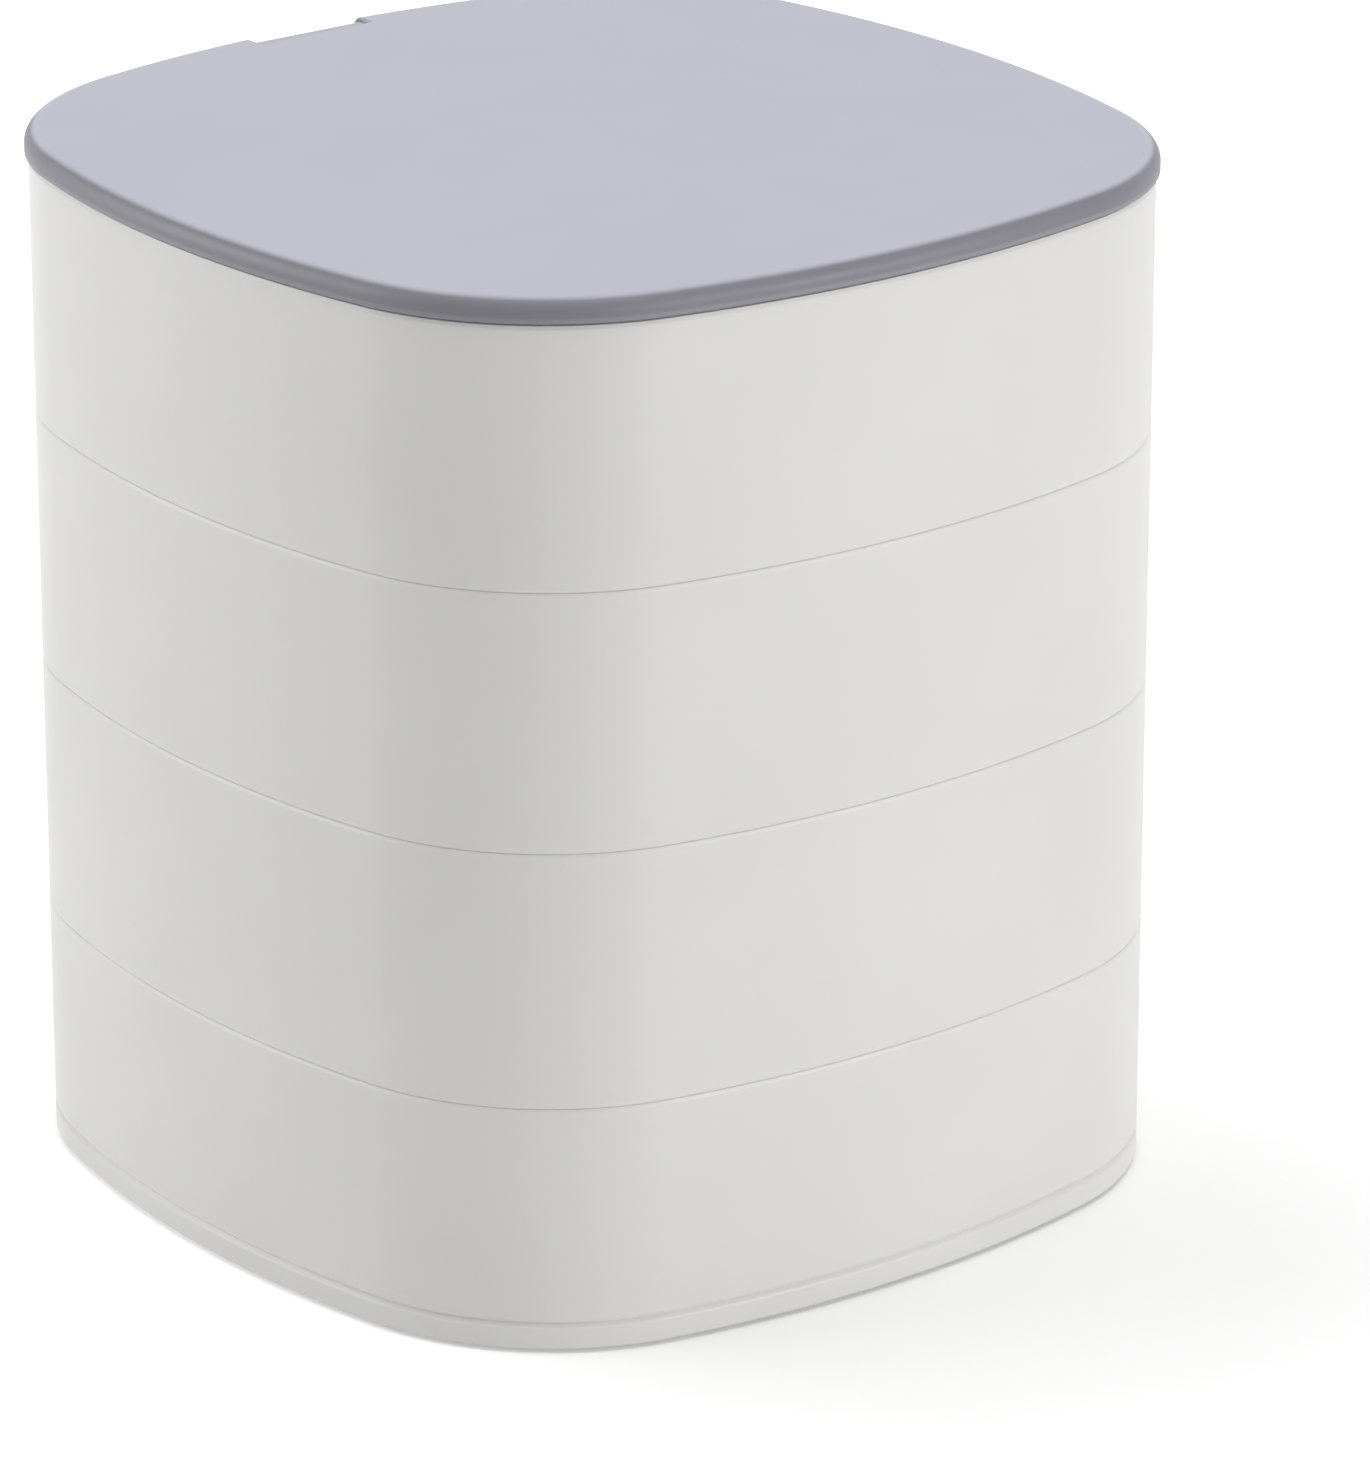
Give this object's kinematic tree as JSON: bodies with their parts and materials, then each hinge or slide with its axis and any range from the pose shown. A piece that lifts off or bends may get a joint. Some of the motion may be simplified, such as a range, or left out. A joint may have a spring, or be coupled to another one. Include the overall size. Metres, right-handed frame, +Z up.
{
  "type": "rotating storage box",
  "caption": "Rounded square storage box of stacked trays that swing out about a corner shaft, under a hinged lid with a mirror and a velvet ring cushion.",
  "frame": {"origin": "middle of the box's plan, on the surface that its feet stand on", "axes": "+Z up, +Y towards the back where the lid is hinged, +X to the right; the swivel shaft is in the back right corner"},
  "size_m": [0.1058, 0.1055, 0.1126],
  "materials": {
    "white_plastic": "satin warm white injection-moulded plastic",
    "lavender_plastic": "fine satin pale lavender plastic",
    "steel": "bright zinc-plated steel",
    "nylon": "natural nylon",
    "rubber": "soft grey rubber",
    "mirror": "silvered glass with bevelled edge",
    "foam_tape": "white foam tape",
    "velvet": "short-pile grey velvet over foam rolls"
  },
  "bodies": {
    "base": {"base_cover": "white_plastic", "bottom_tray": "white_plastic", "pivot_shaft": "steel", "pivot_screw_lower": "steel", "pivot_screw_upper": "steel", "pivot_washer_top": "steel", "base_screw_front_left": "steel", "base_screw_front_right": "steel", "base_screw_back_left": "steel", "washer_lower": "nylon", "foot_front_left": "rubber", "foot_front_right": "rubber", "foot_back_left": "rubber", "foot_back_right": "rubber"},
    "lower_middle": {"lower_middle_tray": "white_plastic", "washer_middle": "nylon"},
    "upper_middle": {"upper_middle_tray": "white_plastic", "washer_upper": "nylon"},
    "top": {"top_tray": "white_plastic", "hinge_block": "lavender_plastic", "hinge_pin": "steel", "pivot_cap": "white_plastic", "ring_cushion": "velvet"},
    "lid": {"lid": "lavender_plastic", "lid_mirror": "mirror", "mirror_tape": "foam_tape"}
  },
  "joints": [
    {"name": "lower_middle_swing", "type": "hinge", "parent": "base", "child": "lower_middle", "pos_m": [0.03652, 0.03652, 0.0409], "axis": [0, 0, 1], "continuous": true},
    {"name": "upper_middle_swing", "type": "hinge", "parent": "base", "child": "upper_middle", "pos_m": [0.03652, 0.03652, 0.0685], "axis": [0, 0, 1], "continuous": true},
    {"name": "top_swing", "type": "hinge", "parent": "base", "child": "top", "pos_m": [0.03652, 0.03652, 0.0961], "axis": [0, 0, 1], "continuous": true},
    {"name": "lid_hinge", "type": "hinge", "parent": "top", "child": "lid", "pos_m": [0, 0.05075, 0.11075], "axis": [-1, 0, 0], "range_deg": [0, 105]}
  ]
}
